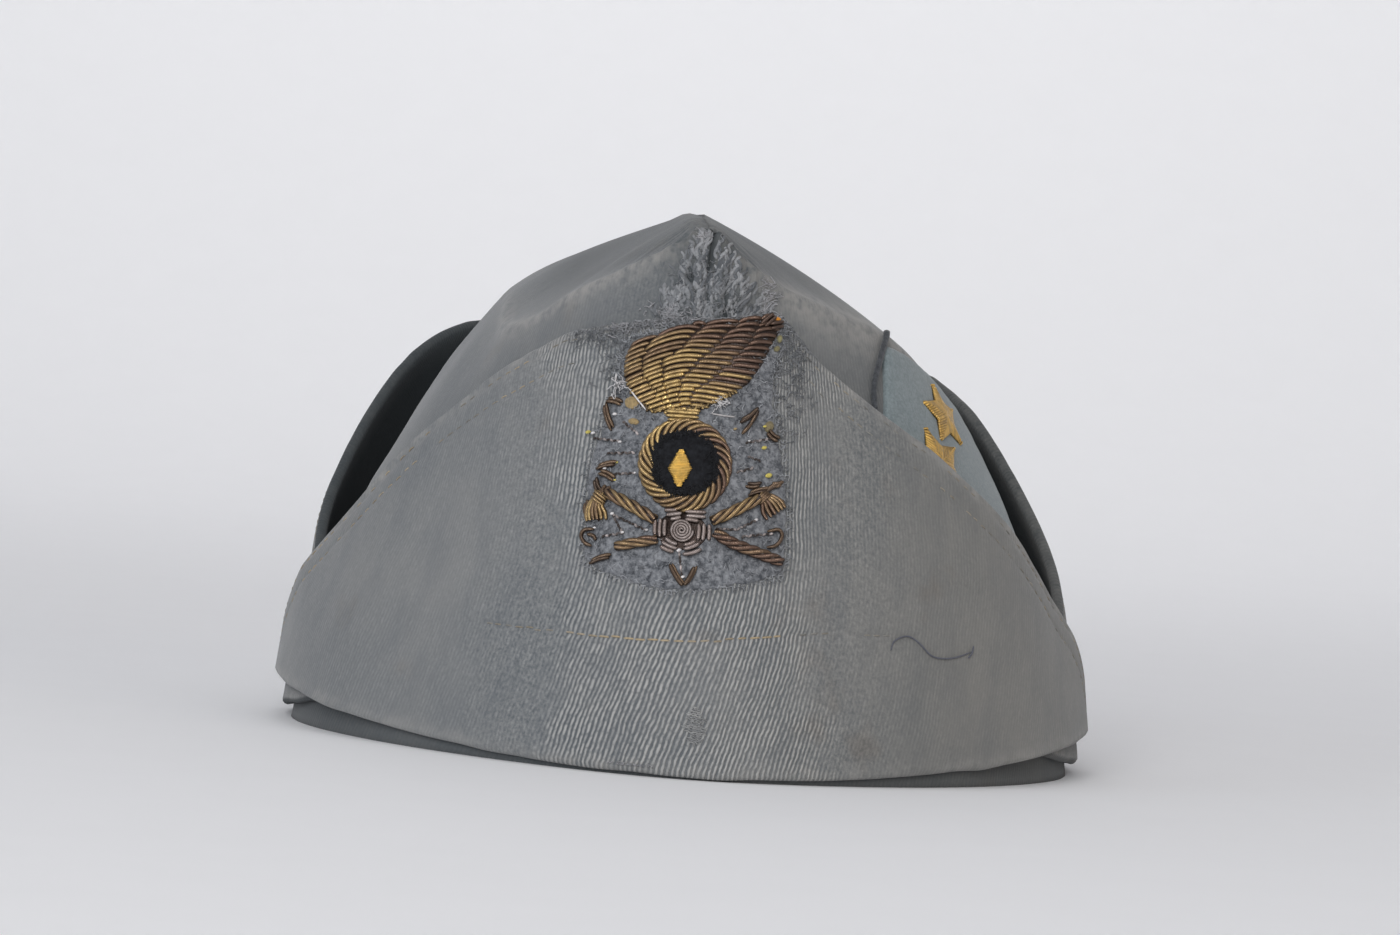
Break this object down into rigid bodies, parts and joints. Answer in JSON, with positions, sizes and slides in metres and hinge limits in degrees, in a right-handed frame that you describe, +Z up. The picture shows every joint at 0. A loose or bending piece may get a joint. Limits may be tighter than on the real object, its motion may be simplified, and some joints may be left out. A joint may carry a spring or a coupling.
{
  "type": "side cap",
  "caption": "Soft wool side cap: tent-shaped hollow crown of two panels, turned-up front flap and side curtain, embroidered flame badge and a starred side patch.",
  "frame": {"origin": "centre of the cap's outline, on the plane of the rim it stands on", "axes": "+Z up, front flap and badge towards -Y, +X to the right as met from the front"},
  "size_m": [0.1766, 0.2102, 0.1145],
  "materials": {
    "crown_cloth": "worn grey-blue wool twill",
    "curtain_cloth": "worn grey-blue wool twill",
    "flap_cloth": "worn grey-blue wool twill",
    "badge_felt": "blue-grey felt",
    "bullion_gold": "tarnished gilt wire",
    "bullion_bronze": "dark tarnished wire",
    "disc_felt": "black felt",
    "gilt_thread": "bright gilt thread",
    "patch_cloth": "pale blue-grey cloth",
    "piping_cloth": "dark cord",
    "gilt_star": "gilt embroidery"
  },
  "bodies": {
    "root": {"crown_left_panel": "crown_cloth", "crown_right_panel": "crown_cloth", "side_curtain": "curtain_cloth", "front_flap": "flap_cloth", "badge_backing": "badge_felt", "badge_flame": "bullion_gold", "badge_ring": "bullion_gold", "badge_disc": "disc_felt", "badge_mark": "gilt_thread", "badge_knot": "bullion_bronze", "badge_arm_upper_left": "bullion_bronze", "badge_arm_upper_right": "bullion_bronze", "badge_arm_lower_left": "bullion_bronze", "badge_arm_lower_right": "bullion_bronze", "badge_binding_left": "bullion_bronze", "badge_binding_right": "bullion_bronze", "badge_chevron": "bullion_bronze", "rank_patch": "patch_cloth", "rank_piping": "piping_cloth", "rank_star_fore": "gilt_star", "rank_star_aft": "gilt_star"}
  },
  "joints": []
}
